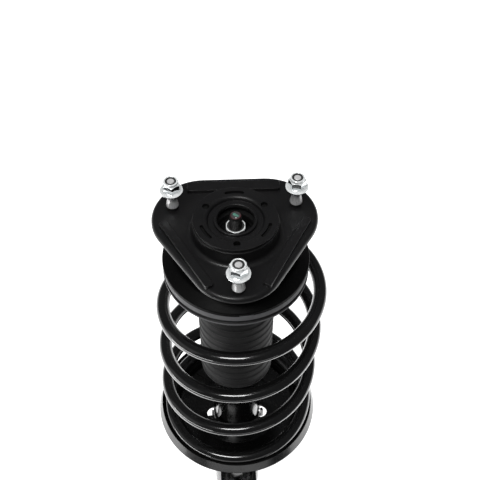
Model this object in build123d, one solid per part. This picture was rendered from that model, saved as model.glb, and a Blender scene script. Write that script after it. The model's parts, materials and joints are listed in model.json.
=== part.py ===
from build123d import *
import math
import os

# MacPherson strut assembly: damper, coil spring, top mount and steering bearing.
# Millimetres. The origin is on the strut's axis, on the top face of the mount plate.
# +Z runs up the axis towards the body of the car, and -Y points at the wheel knuckle.

# ---- driving dimensions -------------------------------------------------------------

# top mount
STUD_CIRCLE = 137.0            # diameter of the circle of three studs
STUD_ANGLES = (30.0, 150.0, 270.0)
STUD_R = 5.0                   # M10 shank
STUD_CORE_R = 4.6              # thread inside the nut
STUD_SHOULDER_R = 6.1
STUD_SHOULDER_TOP = 6.0
STUD_FLARE_TOP = 12.5           # the shoulder narrows to the shank up to here
STUD_KNURL_R = 5.5
STUD_HEAD_R = 7.6
STUD_HEAD_BOTTOM = -8.0
STUD_TIP_TOP = 36.0
STUD_TIP_R = 3.4
STUD_TIP_FALL = 1.2            # height of its turned-down end
NUT_BOTTOM = 23.0
NUT_FLANGE_R = 11.0
NUT_FLANGE_TOP = 25.8
NUT_ACROSS_FLATS = 15.0
NUT_HEX_TOP = 33.6
NUT_COLLAR_R = 6.9
NUT_MOUTH_R = 5.4
NUT_TOP = 36.4
NUT_TURNS = (55.0, 35.0, 0.0)  # degrees, one for each stud

PLATE_THICKNESS = 3.0
PLATE_SKIRT = 5.4              # depth of the turned-down edge
PLATE_BEND_R = 4.6             # its outside bend
PLATE_BACK_CORNER = (29.8, 22.8, 50.2)   # centre x, centre y, radius
PLATE_FRONT_CORNER = (0.0, -35.6, 44.0)
BACK_RIB = (52.4, 64.5, 45.5)  # nearest and farthest from the axis, half length
SIDE_RIB = (49.4, 57.8, 45.0)
RIB_ANGLES = (90.0, 209.0, 331.0)        # back rib first
RIB_HEIGHT = 3.6
RIB_CORNER_R = 2.5
RIB_EDGE_R = 0.5
DOME_R = 40.4                  # outside of the dome's wall
DOME_TOP = 20.0
DOME_FOOT_BEND = 6.4
DOME_LEDGE_R = 39.5            # the wall steps in here, just below its top
DOME_LEDGE_Z = 16.6
TROUGH_R = 28.2                # edge of the ring-shaped trough in the dome's top
TROUGH_DEPTH = 4.0
LIP_R = 19.0                   # centre line of the turned-up lip
LIP_TOP = 19.2
SLOT_CIRCLE_R = 33.0
SLOT_SPAN = 27.0               # degrees
SLOT_WIDTH = 3.4
VENT_CIRCLE_R = 31.5
VENT_R = 3.3
SHELL_FLANGE_R = 58.0          # cup under the plate
SHELL_WALL_R = 44.0
SHELL_FLOOR_R = 41.5
SHELL_BORE_R = 19.0
SHELL_BOTTOM = -16.0

CORE_R = 16.0                  # steel core bonded in the mount rubber
CORE_TOP = 3.0
CORE_BOTTOM = -14.0
RUBBER_BOTTOM = -12.8
RUBBER_WELL_R = 21.0           # the well around the rod nut
RUBBER_WELL_FLOOR = 7.0
WASHER_BOTTOM = -17.0
ROD_NUT_TOP = 9.6
ROD_NUT_ACROSS_FLATS = 18.0
ROD_NUT_WELL_R = 7.8
ROD_NUT_INSERT = (2.4, 0.9)    # depths of the insert's foot and top below the nut's top
ROD_THREAD_R = 6.0             # M12

# steering bearing
RACE_PITCH_R = 33.0
RACE_INNER_R = 27.5
RACE_OUTER_R = 38.5
RACE_SPLIT = 1.2               # each ring stops this far from the plane of the balls
CAGE_INNER_R = 29.2
CAGE_OUTER_R = 36.8
CAGE_HALF_HEIGHT = 0.8
SEAL_INNER_R = 40.0
SEAL_OUTER_R = 44.5
BALL_R = 3.0
BALL_COUNT = 24
BALL_CLEARANCE = 0.05
BALL_PLANE = -21.0
SEAT_TOP = -26.0

# upper seat, boot and bump stop
SHEET = 2.5
UPPER_SEAT_R = 71.3
UPPER_SEAT_BORE_R = 13.5
UPPER_SEAT_SHOULDER_R = 60.0
UPPER_SEAT_WALL_BOTTOM = -37.0
UPPER_SEAT_NOTCH = (7.0, 13.0, 2.2)      # x, width and depth of the cut in its lower edge
ISOLATOR_INNER_R = 50.0
ISOLATOR_OUTER_R = 70.9
ISOLATOR_LIP_R = 71.2
ISOLATOR_BOTTOM = -50.0
ISOLATOR_FOOT = -60.5
BOOT_TOP_R = 40.6
BOOT_BOTTOM_R = 38.6
BOOT_TOP = -36.0
BOOT_BOTTOM = -215.0
BOOT_PLEATS = 15
BOOT_PLEAT_DEPTH = 1.6
BOOT_WALL = 1.6
BOOT_COLLAR = (30.0, 47.0, 2.2)          # inner radius, outer radius and thickness
BUMP_TOP = -28.8
BUMP_BOTTOM = -92.0
BUMP_R = 25.0
BUMP_BULGES = 3
BUMP_TAPER = 1.8               # each bulge is this much smaller than the one above
BUMP_WAIST = 5.0               # depth of the waists between the bulges

# coil spring
WIRE_R = 6.9
COIL_R = 80.0                  # mean radius of the open coils
COIL_FOOT_R = 78.3             # mean radius on the lower seat
COIL_END_R = 62.0              # mean radius of the tucked-in top end
COIL_BOTTOM = -302.6           # wire centre on the lower seat
COIL_RISE = 0.193              # rise per degree of the open coils
COIL_START, COIL_OPEN, COIL_CLOSE, COIL_END = -910.0, -730.0, 230.0, 560.0
COIL_TAIL = 160.0              # degrees of flat coil below the first ramp
COIL_TILT = 1.4                # the spring leans towards +X as it rises
COIL_PIVOT = (2.7, 0.0, -180.0)
COIL_BED_GAP = 0.3             # between the wire and the rubber it beds in

# lower seat
LOWER_SEAT_R = 92.7
LOWER_SEAT_RIM_TOP = -298.8
LOWER_SEAT_RIM_BOTTOM = -310.4
LOWER_SEAT_FLOOR = -313.0
LOWER_SEAT_HUB = -320.0
LOWER_SEAT_HUB_R = 50.0        # where the dish starts to rise from its hub
LOWER_SEAT_STEP_R = 66.0       # where it reaches the spring's floor
LOWER_SEAT_COLLAR = 12.0       # height of the collar on the tube
PAD_INNER_R = 69.0
PAD_OUTER_R = 85.4
PAD_TOP = -305.6
DRAIN_PLACES = ((28.0, -8.0), (-28.0, -8.0))
DRAIN_R = 8.0

# damper
TUBE_R = 25.5
TUBE_WALL = 2.2
TUBE_TOP = -212.0
TUBE_BOTTOM = -520.0
ROD_R = 11.0
ROD_TOP = 23.8
ROD_BOTTOM = -250.0
CYLINDER_BORE_R = 16.0
CYLINDER_WALL = 1.5
CYLINDER_TOP = -234.0
CYLINDER_BOTTOM = -500.0
RUNNING_GAP = 0.05
GUIDE_TOP = -219.0
GUIDE_BOTTOM = -240.0
GUIDE_BUSH_R = 12.6
REBOUND_STOP = (15.0, -249.5, -240.4)    # radius, bottom and top
PISTON_BOTTOM = -272.0
PISTON_BAND = (14.6, -266.0, -256.0)     # floor radius, bottom and top
PISTON_NUT_BOTTOM = -279.0
PISTON_NUT_ACROSS_FLATS = 17.0
SPIGOT_BOTTOM = -281.0
PORT_COUNT = 6
PORT_CIRCLE_R = 10.5
PORT_R = 1.5
CAP_WALL = 1.8
CAP_SKIRT = 10.0

# knuckle bracket
BRACKET_SHEET = 3.5
BRACKET_TOP = -392.0
BRACKET_BOTTOM = -502.0
EAR_OUTSIDE = 21.8             # half the width over both ears
EAR_FRONT = -78.0
BOLT_Y = -56.0
BOLT_HOLES_Z = (-416.0, -476.0)
BOLT_HOLE_R = 8.1
BRACKET_CORNER_R = 14.0
BRACE_TOP = -466.0
BRACE_BOTTOM = -498.0
BRACE_SHEET = 2.8

# small brackets on the tube
LINK_TAB_Z = -363.0
LINK_TAB_REACH = 58.0
LINK_TAB_SHEET = 4.0
LINK_HOLE_R = 5.2
HOSE_TAB_ANGLE = 88.0
HOSE_HOOK_ANGLE = 18.0
HOSE_TAB_Z = -362.0
HOSE_TAB_REACH = 52.0
HOSE_TAB_HALF_WIDTH = 11.0
HOSE_TAB_SHEET = 2.5
HOSE_HOLE_R = 4.2
HOSE_STRAP_SHEET = 2.2
HOSE_STRAP_HEIGHT = 18.0
HOSE_HOOK_BAR = 3.2            # side of the hook's square bar


# ---- helpers ------------------------------------------------------------------------

def turned(points, bend=0.0):
    """Solid of revolution about Z from a closed outline of (radius, height) points."""
    if bend:
        outline = FilletPolyline(*points, radius=bend, close=True)
    else:
        outline = Polyline(*points, close=True)
    return revolve(Plane.XZ * make_face(outline), Axis.Z)


def mitre(before, corner, after, distance):
    """Point at a distance to the left of a bend's corner, on the bisector of its two runs."""
    first = (Vector(*corner) - Vector(*before)).normalized()
    second = (Vector(*after) - Vector(*corner)).normalized()
    left_one = Vector(-first.Y, first.X)
    left_two = Vector(-second.Y, second.X)
    bisector = (left_one + left_two).normalized()
    shift = bisector * (distance / bisector.dot(left_one))
    return (corner[0] + shift.X, corner[1] + shift.Y)


def pressed(points, sheet, bend):
    """Pressed sheet ring: an open centre line of (radius, height) points, given a thickness.
    Bend is the centre line's bend radius, or a list with one for each corner."""
    half = sheet / 2
    edge_round = half * 0.8
    corners = len(points) - 2
    bends = bend if isinstance(bend, list) else [bend] * corners
    bends = [0.0, *bends, 0.0]
    before_first = (2 * points[0][0] - points[1][0], 2 * points[0][1] - points[1][1])
    after_last = (2 * points[-1][0] - points[-2][0], 2 * points[-1][1] - points[-2][1])
    line = [before_first, *points, after_last]
    left, right = [], []
    left_bends, right_bends = [], []
    for before, corner, after, radius in zip(line, line[1:], line[2:], bends):
        left.append(mitre(before, corner, after, half))
        right.append(mitre(before, corner, after, -half))
        first = Vector(corner[0] - before[0], corner[1] - before[1])
        second = Vector(after[0] - corner[0], after[1] - corner[1])
        turn = first.X * second.Y - first.Y * second.X
        inside, outside = max(radius - half, 0.3), radius + half
        if corner in (points[0], points[-1]):
            inside, outside = edge_round, edge_round
        left_bends.append(inside if turn > 0 else outside)
        right_bends.append(outside if turn > 0 else inside)
    outline = FilletPolyline(*left, *reversed(right),
                             radius=left_bends + right_bends[::-1], close=True)
    return revolve(Plane.XZ * make_face(outline), Axis.Z)


def rod(radius, bottom, top, place=(0.0, 0.0)):
    """Upright cylinder between two heights."""
    return Pos(place[0], place[1], bottom) * extrude(Circle(radius), top - bottom)


def tube(outer, inner, bottom, top):
    """Upright tube between two heights."""
    return Pos(0, 0, bottom) * extrude(Circle(outer) - Circle(inner), top - bottom)


def hexagon(across_flats, bottom, top):
    """Upright hexagonal bar with its top corners turned down."""
    corner_r = across_flats / math.sqrt(3)
    bar = Pos(0, 0, bottom) * extrude(RegularPolygon(corner_r, 6), top - bottom)
    fall = (corner_r - across_flats / 2) * 0.58
    turning = turned([(0, bottom - 1), (corner_r + 1, bottom - 1), (corner_r + 1, top - fall),
                      (corner_r, top - fall), (across_flats / 2, top), (0, top)])
    return bar & turning


def on_circle(radius, angle):
    """Point at an angle in degrees on a circle about the axis."""
    return (radius * math.cos(math.radians(angle)), radius * math.sin(math.radians(angle)))


def save(node, shape):
    """Write one named piece."""
    shape.label = node
    export_step(shape, f"parts/{node}.step")


# ---- top mount ----------------------------------------------------------------------

def plate_outline():
    """Rounded triangle of the mount plate: two wide back corners and one front corner."""
    x, y, radius = PLATE_BACK_CORNER
    front_x, front_y, front_radius = PLATE_FRONT_CORNER
    corners = Sketch() + Pos(x, y) * Circle(radius) + Pos(-x, y) * Circle(radius)
    corners += Pos(front_x, front_y) * Circle(front_radius)
    return make_hull(corners.edges())


def mount_rib(size, angle):
    """Raised rib of the plate, square to a direction in degrees."""
    near, far, half_length = size
    base = fillet(Rectangle(far - near, 2 * half_length).vertices(), RIB_CORNER_R)
    rib = Pos((near + far) / 2, 0, -1) * extrude(base, RIB_HEIGHT + 1)
    rib = fillet(rib.faces().sort_by(Axis.Z)[-1].edges(), RIB_EDGE_R)
    return Rot(0, 0, angle) * rib


def mount_dome():
    """Round dome in the middle of the plate, with a trough and a turned-up lip in its top."""
    half = PLATE_THICKNESS / 2
    wall = DOME_R - half
    top = DOME_TOP - half
    trough = top - TROUGH_DEPTH
    dome = pressed([(DOME_R + 12, -half), (wall + 0.6, -half), (wall, top), (TROUGH_R, top),
                    (TROUGH_R - 1.4, trough), (LIP_R, trough), (LIP_R, LIP_TOP)],
                   PLATE_THICKNESS, [DOME_FOOT_BEND, 0.2, 2.0, 1.8, 1.8])
    ledge = turned([(DOME_LEDGE_R, DOME_LEDGE_Z), (DOME_LEDGE_R + 0.5, DOME_LEDGE_Z),
                    (DOME_R + 0.4, DOME_LEDGE_Z - 0.8), (DOME_R + 3, DOME_LEDGE_Z - 0.8),
                    (DOME_R + 3, DOME_TOP + 2), (DOME_LEDGE_R, DOME_TOP + 2)])
    return dome - ledge


def mount_plate():
    """Pressed triangular plate with a turned-down edge, three ribs and a round dome."""
    outline = plate_outline()
    plate = Pos(0, 0, -PLATE_SKIRT) * extrude(outline, PLATE_SKIRT)
    plate = fillet(plate.faces().sort_by(Axis.Z)[-1].edges(), PLATE_BEND_R)
    inside = offset(outline, -PLATE_THICKNESS)
    hollow = Pos(0, 0, -PLATE_SKIRT) * extrude(inside, PLATE_SKIRT - PLATE_THICKNESS)
    plate -= fillet(hollow.faces().sort_by(Axis.Z)[-1].edges(), PLATE_BEND_R - PLATE_THICKNESS)
    for size, angle in zip((BACK_RIB, SIDE_RIB, SIDE_RIB), RIB_ANGLES):
        plate += mount_rib(size, angle)
    plate -= rod(DOME_R + 8, -PLATE_SKIRT - 1, DOME_TOP + 1)
    plate += mount_dome()
    for angle in (90.0, 210.0, 330.0):
        slot = SlotArc(CenterArc((0, 0), SLOT_CIRCLE_R, angle - SLOT_SPAN / 2, SLOT_SPAN),
                       SLOT_WIDTH)
        plate -= Pos(0, 0, 12) * extrude(slot, 12)
    for angle in STUD_ANGLES:
        plate -= rod(VENT_R, 12, 24, on_circle(VENT_CIRCLE_R, angle))
        plate -= rod(STUD_KNURL_R, -10, 5, on_circle(STUD_CIRCLE / 2, angle))
    return plate


def mount_studs():
    """Three M10 studs: head below the plate, knurl in it, flared shoulder above it."""
    stud = turned([(0, STUD_HEAD_BOTTOM), (STUD_HEAD_R, STUD_HEAD_BOTTOM),
                   (STUD_HEAD_R, -PLATE_THICKNESS - 1.6), (STUD_HEAD_R - 1.4, -PLATE_THICKNESS),
                   (STUD_KNURL_R, -PLATE_THICKNESS),
                   (STUD_KNURL_R, 0), (STUD_SHOULDER_R, 0), (STUD_SHOULDER_R, STUD_SHOULDER_TOP),
                   (STUD_R, STUD_FLARE_TOP), (STUD_R, NUT_BOTTOM - 0.4),
                   (STUD_CORE_R, NUT_BOTTOM), (STUD_CORE_R, STUD_TIP_TOP - STUD_TIP_FALL),
                   (STUD_TIP_R, STUD_TIP_TOP), (0, STUD_TIP_TOP)])
    places = [on_circle(STUD_CIRCLE / 2, angle) for angle in STUD_ANGLES]
    return Compound([Pos(x, y, 0) * stud.solid() for x, y in places])


def stud_nuts():
    """Three flanged locknuts, parked at the top of the studs."""
    flange = turned([(0, NUT_BOTTOM), (NUT_FLANGE_R, NUT_BOTTOM), (NUT_FLANGE_R, NUT_BOTTOM + 1.1),
                     (NUT_ACROSS_FLATS / 2, NUT_FLANGE_TOP), (0, NUT_FLANGE_TOP)])
    body = hexagon(NUT_ACROSS_FLATS, NUT_BOTTOM + 1, NUT_HEX_TOP)
    collar = turned([(0, NUT_HEX_TOP - 1), (NUT_COLLAR_R, NUT_HEX_TOP - 1),
                     (NUT_COLLAR_R, NUT_TOP - 1.0), (NUT_COLLAR_R - 1.0, NUT_TOP), (0, NUT_TOP)])
    mouth = turned([(0, NUT_TOP - 1.6), (STUD_CORE_R, NUT_TOP - 1.6), (NUT_MOUTH_R, NUT_TOP),
                    (NUT_MOUTH_R, NUT_TOP + 1), (0, NUT_TOP + 1)])
    nut = flange + body + collar - rod(STUD_CORE_R, NUT_BOTTOM - 1, NUT_TOP + 1) - mouth
    nuts = []
    for angle, turn in zip(STUD_ANGLES, NUT_TURNS):
        x, y = on_circle(STUD_CIRCLE / 2, angle)
        nuts.append(Pos(x, y, 0) * Rot(0, 0, turn) * nut.solid())
    return Compound(nuts)


def mount_lower_shell():
    """Pressed cup welded under the plate: it closes the rubber in and carries the bearing."""
    half = SHEET / 2
    return pressed([(SHELL_FLANGE_R, -PLATE_THICKNESS - half),
                    (SHELL_WALL_R, -PLATE_THICKNESS - half), (SHELL_FLOOR_R, SHELL_BOTTOM + half),
                    (SHELL_BORE_R, SHELL_BOTTOM + half)], SHEET, SHEET)


def mount_rubber():
    """Rubber bonded between the dome and the steel core."""
    inside = DOME_R - PLATE_THICKNESS - 0.2
    roof = DOME_TOP - PLATE_THICKNESS - 0.2
    trough = roof - TROUGH_DEPTH
    return turned([(CORE_R, RUBBER_BOTTOM), (inside - 1, RUBBER_BOTTOM), (inside, -6),
                   (inside, roof - 1.5), (inside - 1.5, roof), (TROUGH_R + 2.4, roof),
                   (TROUGH_R, trough), (RUBBER_WELL_R, trough),
                   (RUBBER_WELL_R, RUBBER_WELL_FLOOR + 1), (CORE_R + 1.4, RUBBER_WELL_FLOOR),
                   (CORE_R + 1, CORE_TOP - 1), (CORE_R, CORE_TOP - 1)])


def mount_core():
    """Steel core that the rod nut clamps to the damper rod."""
    return turned([(ROD_THREAD_R + 0.1, CORE_BOTTOM), (CORE_R - 1, CORE_BOTTOM),
                   (CORE_R, CORE_BOTTOM + 1), (CORE_R, CORE_TOP - 1), (CORE_R - 1, CORE_TOP),
                   (ROD_THREAD_R + 0.1, CORE_TOP)])


def rod_washer():
    """Hardened washer between the rod's shoulder and the core."""
    return tube(CORE_R, ROD_THREAD_R + 0.1, WASHER_BOTTOM, CORE_BOTTOM)


def rod_nut():
    """M12 locknut, one corner to the front, with a well for its insert."""
    foot, _ = ROD_NUT_INSERT
    bar = Rot(0, 0, 30) * hexagon(ROD_NUT_ACROSS_FLATS, CORE_TOP, ROD_NUT_TOP)
    nut = bar - rod(ROD_THREAD_R, CORE_TOP - 1, ROD_NUT_TOP + 1)
    return nut - rod(ROD_NUT_WELL_R, ROD_NUT_TOP - foot, ROD_NUT_TOP + 1)


def rod_nut_insert():
    """Locking insert in the rod nut's well."""
    foot, top = ROD_NUT_INSERT
    return tube(ROD_NUT_WELL_R, ROD_THREAD_R, ROD_NUT_TOP - foot, ROD_NUT_TOP - top)


# ---- steering bearing ---------------------------------------------------------------

def ball_groove():
    """Ring cut for the balls, with their running clearance."""
    circle = Pos(RACE_PITCH_R, BALL_PLANE) * Circle(BALL_R + BALL_CLEARANCE)
    return revolve(Plane.XZ * circle, Axis.Z)


def bearing_race(bottom, top):
    """Bearing ring with a ball groove."""
    ring = turned([(RACE_INNER_R, bottom), (RACE_OUTER_R, bottom), (RACE_OUTER_R, top),
                   (RACE_INNER_R, top)], 0.4)
    return ring - ball_groove()


def bearing_cage():
    """Flat ring with one pocket for each ball."""
    cage = tube(CAGE_OUTER_R, CAGE_INNER_R, BALL_PLANE - CAGE_HALF_HEIGHT,
                BALL_PLANE + CAGE_HALF_HEIGHT)
    for index in range(BALL_COUNT):
        place = on_circle(RACE_PITCH_R, index * 360 / BALL_COUNT)
        cage -= rod(BALL_R + 0.1, BALL_PLANE - 2, BALL_PLANE + 2, place)
    return cage


def bearing_balls():
    """The balls of the thrust bearing."""
    balls = []
    for index in range(BALL_COUNT):
        x, y = on_circle(RACE_PITCH_R, index * 360 / BALL_COUNT)
        balls.append(Pos(x, y, BALL_PLANE) * Sphere(BALL_R).solid())
    return Compound(balls)


def bearing_seal():
    """Rubber lip seal around the bearing."""
    lip_top = SHELL_BOTTOM - 0.6
    return turned([(SEAL_INNER_R, SEAT_TOP), (SEAL_OUTER_R, SEAT_TOP), (SEAL_OUTER_R, SEAT_TOP + 2),
                   (SEAL_INNER_R + 2.2, SEAT_TOP + 3), (SEAL_INNER_R + 1.4, lip_top),
                   (SEAL_INNER_R + 0.2, lip_top), (SEAL_INNER_R, SEAT_TOP + 2)])


# ---- upper seat, boot and bump stop -------------------------------------------------

def upper_spring_seat():
    """Pressed pan that the spring pushes up: flat top under the bearing, upright wall."""
    top = SEAT_TOP - SHEET / 2
    wall = UPPER_SEAT_R - SHEET / 2
    pan = pressed([(UPPER_SEAT_BORE_R, top), (UPPER_SEAT_SHOULDER_R, top), (wall, top - 6.0),
                   (wall, UPPER_SEAT_WALL_BOTTOM)], SHEET, [3.5, 0.2])
    x, width, depth = UPPER_SEAT_NOTCH
    return pan - Pos(x, -UPPER_SEAT_R, UPPER_SEAT_WALL_BOTTOM) * Box(width, 12, 2 * depth)


def upper_isolator():
    """Rubber ring between the pan and the spring, with a rolled lip at its foot."""
    inner = UPPER_SEAT_R - SHEET - 0.1
    seat_under = SEAT_TOP - SHEET
    rim = UPPER_SEAT_WALL_BOTTOM
    ring = turned([(ISOLATOR_INNER_R, seat_under - 0.1), (ISOLATOR_INNER_R + 6, seat_under - 0.1),
                   (ISOLATOR_INNER_R + 11, seat_under - 3.2), (inner - 2, seat_under - 8),
                   (inner, rim + 0.5), (inner, rim - 0.2), (ISOLATOR_OUTER_R, rim - 0.2),
                   (ISOLATOR_OUTER_R, rim - 7), (ISOLATOR_OUTER_R - 1.5, rim - 8.2),
                   (ISOLATOR_OUTER_R - 1.5, rim - 10.4), (ISOLATOR_LIP_R, rim - 11.2),
                   (ISOLATOR_LIP_R, ISOLATOR_BOTTOM), (ISOLATOR_LIP_R - 1.7, ISOLATOR_BOTTOM - 1.2),
                   (ISOLATOR_INNER_R + 14, ISOLATOR_FOOT), (ISOLATOR_INNER_R + 4, ISOLATOR_FOOT),
                   (ISOLATOR_INNER_R, ISOLATOR_FOOT + 4)])
    return ring - coil(COIL_CLOSE + 150, COIL_END + 30, WIRE_R + COIL_BED_GAP)


def boot_profile():
    """Closed (radius, height) outline of the boot: collar, pleats and foot, one wall thick."""
    pitch = (BOOT_TOP - BOOT_BOTTOM - 8) / BOOT_PLEATS
    crest = []
    for index in range(BOOT_PLEATS):
        top = BOOT_TOP - 2 - index * pitch
        share = index / (BOOT_PLEATS - 1)
        radius = BOOT_TOP_R + (BOOT_BOTTOM_R - BOOT_TOP_R) * share
        crest += [(radius - BOOT_PLEAT_DEPTH, top), (radius, top - pitch * 0.3),
                  (radius, top - pitch * 0.7)]
    crest.append((BOOT_BOTTOM_R - BOOT_PLEAT_DEPTH, BOOT_BOTTOM + 6))
    crest.append((BOOT_BOTTOM_R - 0.6, BOOT_BOTTOM + 5))
    crest.append((BOOT_BOTTOM_R - 0.6, BOOT_BOTTOM))
    root = [(radius - BOOT_WALL, height) for radius, height in crest]
    collar = SEAT_TOP - SHEET - 0.1
    inner, outer, thickness = BOOT_COLLAR
    head = [(inner, collar), (outer, collar), (outer, collar - thickness),
            (BOOT_TOP_R - BOOT_PLEAT_DEPTH, collar - thickness - 1)]
    return head + crest + root[::-1] + [(inner, collar - thickness)]


def dust_boot():
    """Pleated rubber boot hanging from the upper seat, around the rod and the tube's top."""
    return turned(boot_profile())


def bump_stop():
    """Foam spring around the rod: three bulges that fold on to the tube's cap."""
    inner = ROD_R + 0.6
    bulges = [(inner, BUMP_TOP), (BUMP_R, BUMP_TOP)]
    step = (BUMP_TOP - BUMP_BOTTOM) / BUMP_BULGES
    for index in range(BUMP_BULGES):
        top = BUMP_TOP - index * step
        radius = BUMP_R - BUMP_TAPER * index
        bulges += [(radius, top - step * 0.6), (radius - BUMP_WAIST, top - step * 0.85)]
    bulges += [(BUMP_R - 9, BUMP_BOTTOM), (inner, BUMP_BOTTOM)]
    return turned(bulges)


# ---- coil spring --------------------------------------------------------------------

def ramp(angle, start, end):
    """Integral of a slope that grows evenly from 0 at start to 1 at end."""
    if angle <= start:
        return 0.0
    if angle >= end:
        return (end - start) / 2 + angle - end
    return (angle - start) ** 2 / (2 * (end - start))


def ease(share):
    """Smooth step from 0 to 1 as the share goes from 0 to 1."""
    share = min(max(share, 0.0), 1.0)
    return share * share * (3 - 2 * share)


def coil_point(angle):
    """Wire centre at an angle along the coil, before the spring's lean."""
    rise = ramp(angle, COIL_START, COIL_OPEN) - ramp(angle, COIL_CLOSE, COIL_END)
    radius = COIL_R - (COIL_R - COIL_END_R) * ease((angle - COIL_CLOSE - 110) / 200)
    radius -= (COIL_R - COIL_FOOT_R) * ease((COIL_OPEN - 20 - angle) / 150)
    x, y = on_circle(radius, angle)
    return Vector(x, y, COIL_BOTTOM + COIL_RISE * rise)


def coil(first, last, radius):
    """Round bar along the coil between two angles, leaning as the spring does."""
    count = round((last - first) / 30)
    points = [coil_point(first + (last - first) * index / count) for index in range(count + 1)]
    path = Spline(*points)
    bar = sweep(Plane(origin=path @ 0, z_dir=path % 0) * Circle(radius), path=path)
    x, y, z = COIL_PIVOT
    lean = Pos(x, y, z) * Rot(0, COIL_TILT, 0) * Pos(0, 0, -z)
    return lean * bar


def coil_spring():
    """Right-handed coil spring, with flat ends and its top end tucked in."""
    return coil(COIL_START - COIL_TAIL, COIL_END, WIRE_R)


# ---- lower seat ---------------------------------------------------------------------

def lower_spring_seat():
    """Pressed dish welded to the tube, with a folded rim and two drain holes."""
    half = SHEET / 2
    top, foot = LOWER_SEAT_RIM_TOP, LOWER_SEAT_RIM_BOTTOM
    wall = LOWER_SEAT_R - 4.4
    dish = pressed([(TUBE_R + half, LOWER_SEAT_HUB - LOWER_SEAT_COLLAR),
                    (TUBE_R + half, LOWER_SEAT_HUB - half), (LOWER_SEAT_HUB_R, LOWER_SEAT_HUB - half),
                    (LOWER_SEAT_STEP_R, LOWER_SEAT_FLOOR - half), (wall - 1.7, LOWER_SEAT_FLOOR - half),
                    (wall, top - 1.4)], SHEET, 1.6)
    dish += turned([(wall - 0.8, top - 1.6), (wall - 0.1, top - 0.2), (wall + 0.7, top),
                    (LOWER_SEAT_R - 0.2, foot + 1.4), (LOWER_SEAT_R, foot + 0.5),
                    (LOWER_SEAT_R - 0.7, foot), (LOWER_SEAT_R - 1.7, foot), (wall + 0.9, top - 5),
                    (wall - 0.1, top - 5)])
    for place in DRAIN_PLACES:
        dish -= rod(DRAIN_R, LOWER_SEAT_HUB - 20, LOWER_SEAT_FLOOR, place)
    return dish


def lower_isolator():
    """Rubber pad under the bottom coil, with the wire's groove moulded in."""
    pad = turned([(PAD_INNER_R, LOWER_SEAT_FLOOR), (PAD_OUTER_R - 0.8, LOWER_SEAT_FLOOR),
                  (PAD_OUTER_R, PAD_TOP - 1), (PAD_OUTER_R - 0.4, PAD_TOP),
                  (PAD_INNER_R + 2, PAD_TOP), (PAD_INNER_R, PAD_TOP - 2)])
    return pad - coil(COIL_START - COIL_TAIL - 60, COIL_OPEN, WIRE_R + COIL_BED_GAP)


# ---- damper -------------------------------------------------------------------------

def strut_tube():
    """Outer tube of the damper."""
    return tube(TUBE_R, TUBE_R - TUBE_WALL, TUBE_BOTTOM, TUBE_TOP)


def tube_foot():
    """Pressed cup that closes the tube's bottom end."""
    inside = TUBE_R - TUBE_WALL
    return turned([(0, TUBE_BOTTOM + 1), (inside, TUBE_BOTTOM + 1), (inside, TUBE_BOTTOM + 12),
                   (inside - 3, TUBE_BOTTOM + 12), (inside - 3, TUBE_BOTTOM + 5),
                   (0, TUBE_BOTTOM + 5)])


def pressure_tube():
    """Inner tube that the piston runs in."""
    return tube(CYLINDER_BORE_R + CYLINDER_WALL, CYLINDER_BORE_R, CYLINDER_BOTTOM, CYLINDER_TOP)


def base_valve():
    """Valve body in the foot of the pressure tube."""
    outer = CYLINDER_BORE_R + CYLINDER_WALL
    low = TUBE_BOTTOM + 5
    body = turned([(0, low), (outer, low), (outer, CYLINDER_BOTTOM), (CYLINDER_BORE_R, CYLINDER_BOTTOM),
                   (CYLINDER_BORE_R, CYLINDER_BOTTOM + 5), (6, CYLINDER_BOTTOM + 5),
                   (6, CYLINDER_BOTTOM + 9), (0, CYLINDER_BOTTOM + 9)])
    for index in range(PORT_COUNT):
        place = on_circle(PORT_CIRCLE_R, index * 360 / PORT_COUNT)
        body -= rod(PORT_R, low - 1, CYLINDER_BOTTOM + 10, place)
    return body


def rod_guide():
    """Sintered guide that closes the top of both tubes around the rod."""
    inside = TUBE_R - TUBE_WALL
    return turned([(GUIDE_BUSH_R, GUIDE_BOTTOM), (CYLINDER_BORE_R, GUIDE_BOTTOM),
                   (CYLINDER_BORE_R, CYLINDER_TOP), (inside, CYLINDER_TOP), (inside, GUIDE_TOP),
                   (GUIDE_BUSH_R, GUIDE_TOP)])


def rod_bush():
    """Bearing bush pressed in the rod guide."""
    return tube(GUIDE_BUSH_R, ROD_R + RUNNING_GAP, GUIDE_BOTTOM, GUIDE_TOP)


def rod_seal():
    """Oil seal on the rod."""
    return turned([(ROD_R + RUNNING_GAP, GUIDE_TOP), (TUBE_R - TUBE_WALL, GUIDE_TOP),
                   (TUBE_R - TUBE_WALL, TUBE_TOP), (ROD_R + 4, TUBE_TOP),
                   (ROD_R + RUNNING_GAP, TUBE_TOP - 3)])


def tube_cap():
    """Steel cap over the tube's top end, the bump stop's landing."""
    outer = TUBE_R + CAP_WALL
    return turned([(ROD_R + 1.2, TUBE_TOP), (TUBE_R, TUBE_TOP), (TUBE_R, TUBE_TOP - CAP_SKIRT),
                   (outer, TUBE_TOP - CAP_SKIRT), (outer, TUBE_TOP + 1),
                   (outer - 1.2, TUBE_TOP + 2.2), (ROD_R + 1.2, TUBE_TOP + 2.2)])


def piston_rod():
    """Chromed rod: shoulder and M12 end at the top, piston spigot at the bottom."""
    tip = 1.2
    return turned([(0, SPIGOT_BOTTOM), (ROD_THREAD_R - 1, SPIGOT_BOTTOM),
                   (ROD_THREAD_R, SPIGOT_BOTTOM + 1), (ROD_THREAD_R, ROD_BOTTOM),
                   (ROD_R, ROD_BOTTOM), (ROD_R, WASHER_BOTTOM - 1), (ROD_R - 1, WASHER_BOTTOM),
                   (ROD_THREAD_R, WASHER_BOTTOM), (ROD_THREAD_R, ROD_TOP - tip),
                   (ROD_THREAD_R - tip, ROD_TOP), (0, ROD_TOP)])


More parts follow.
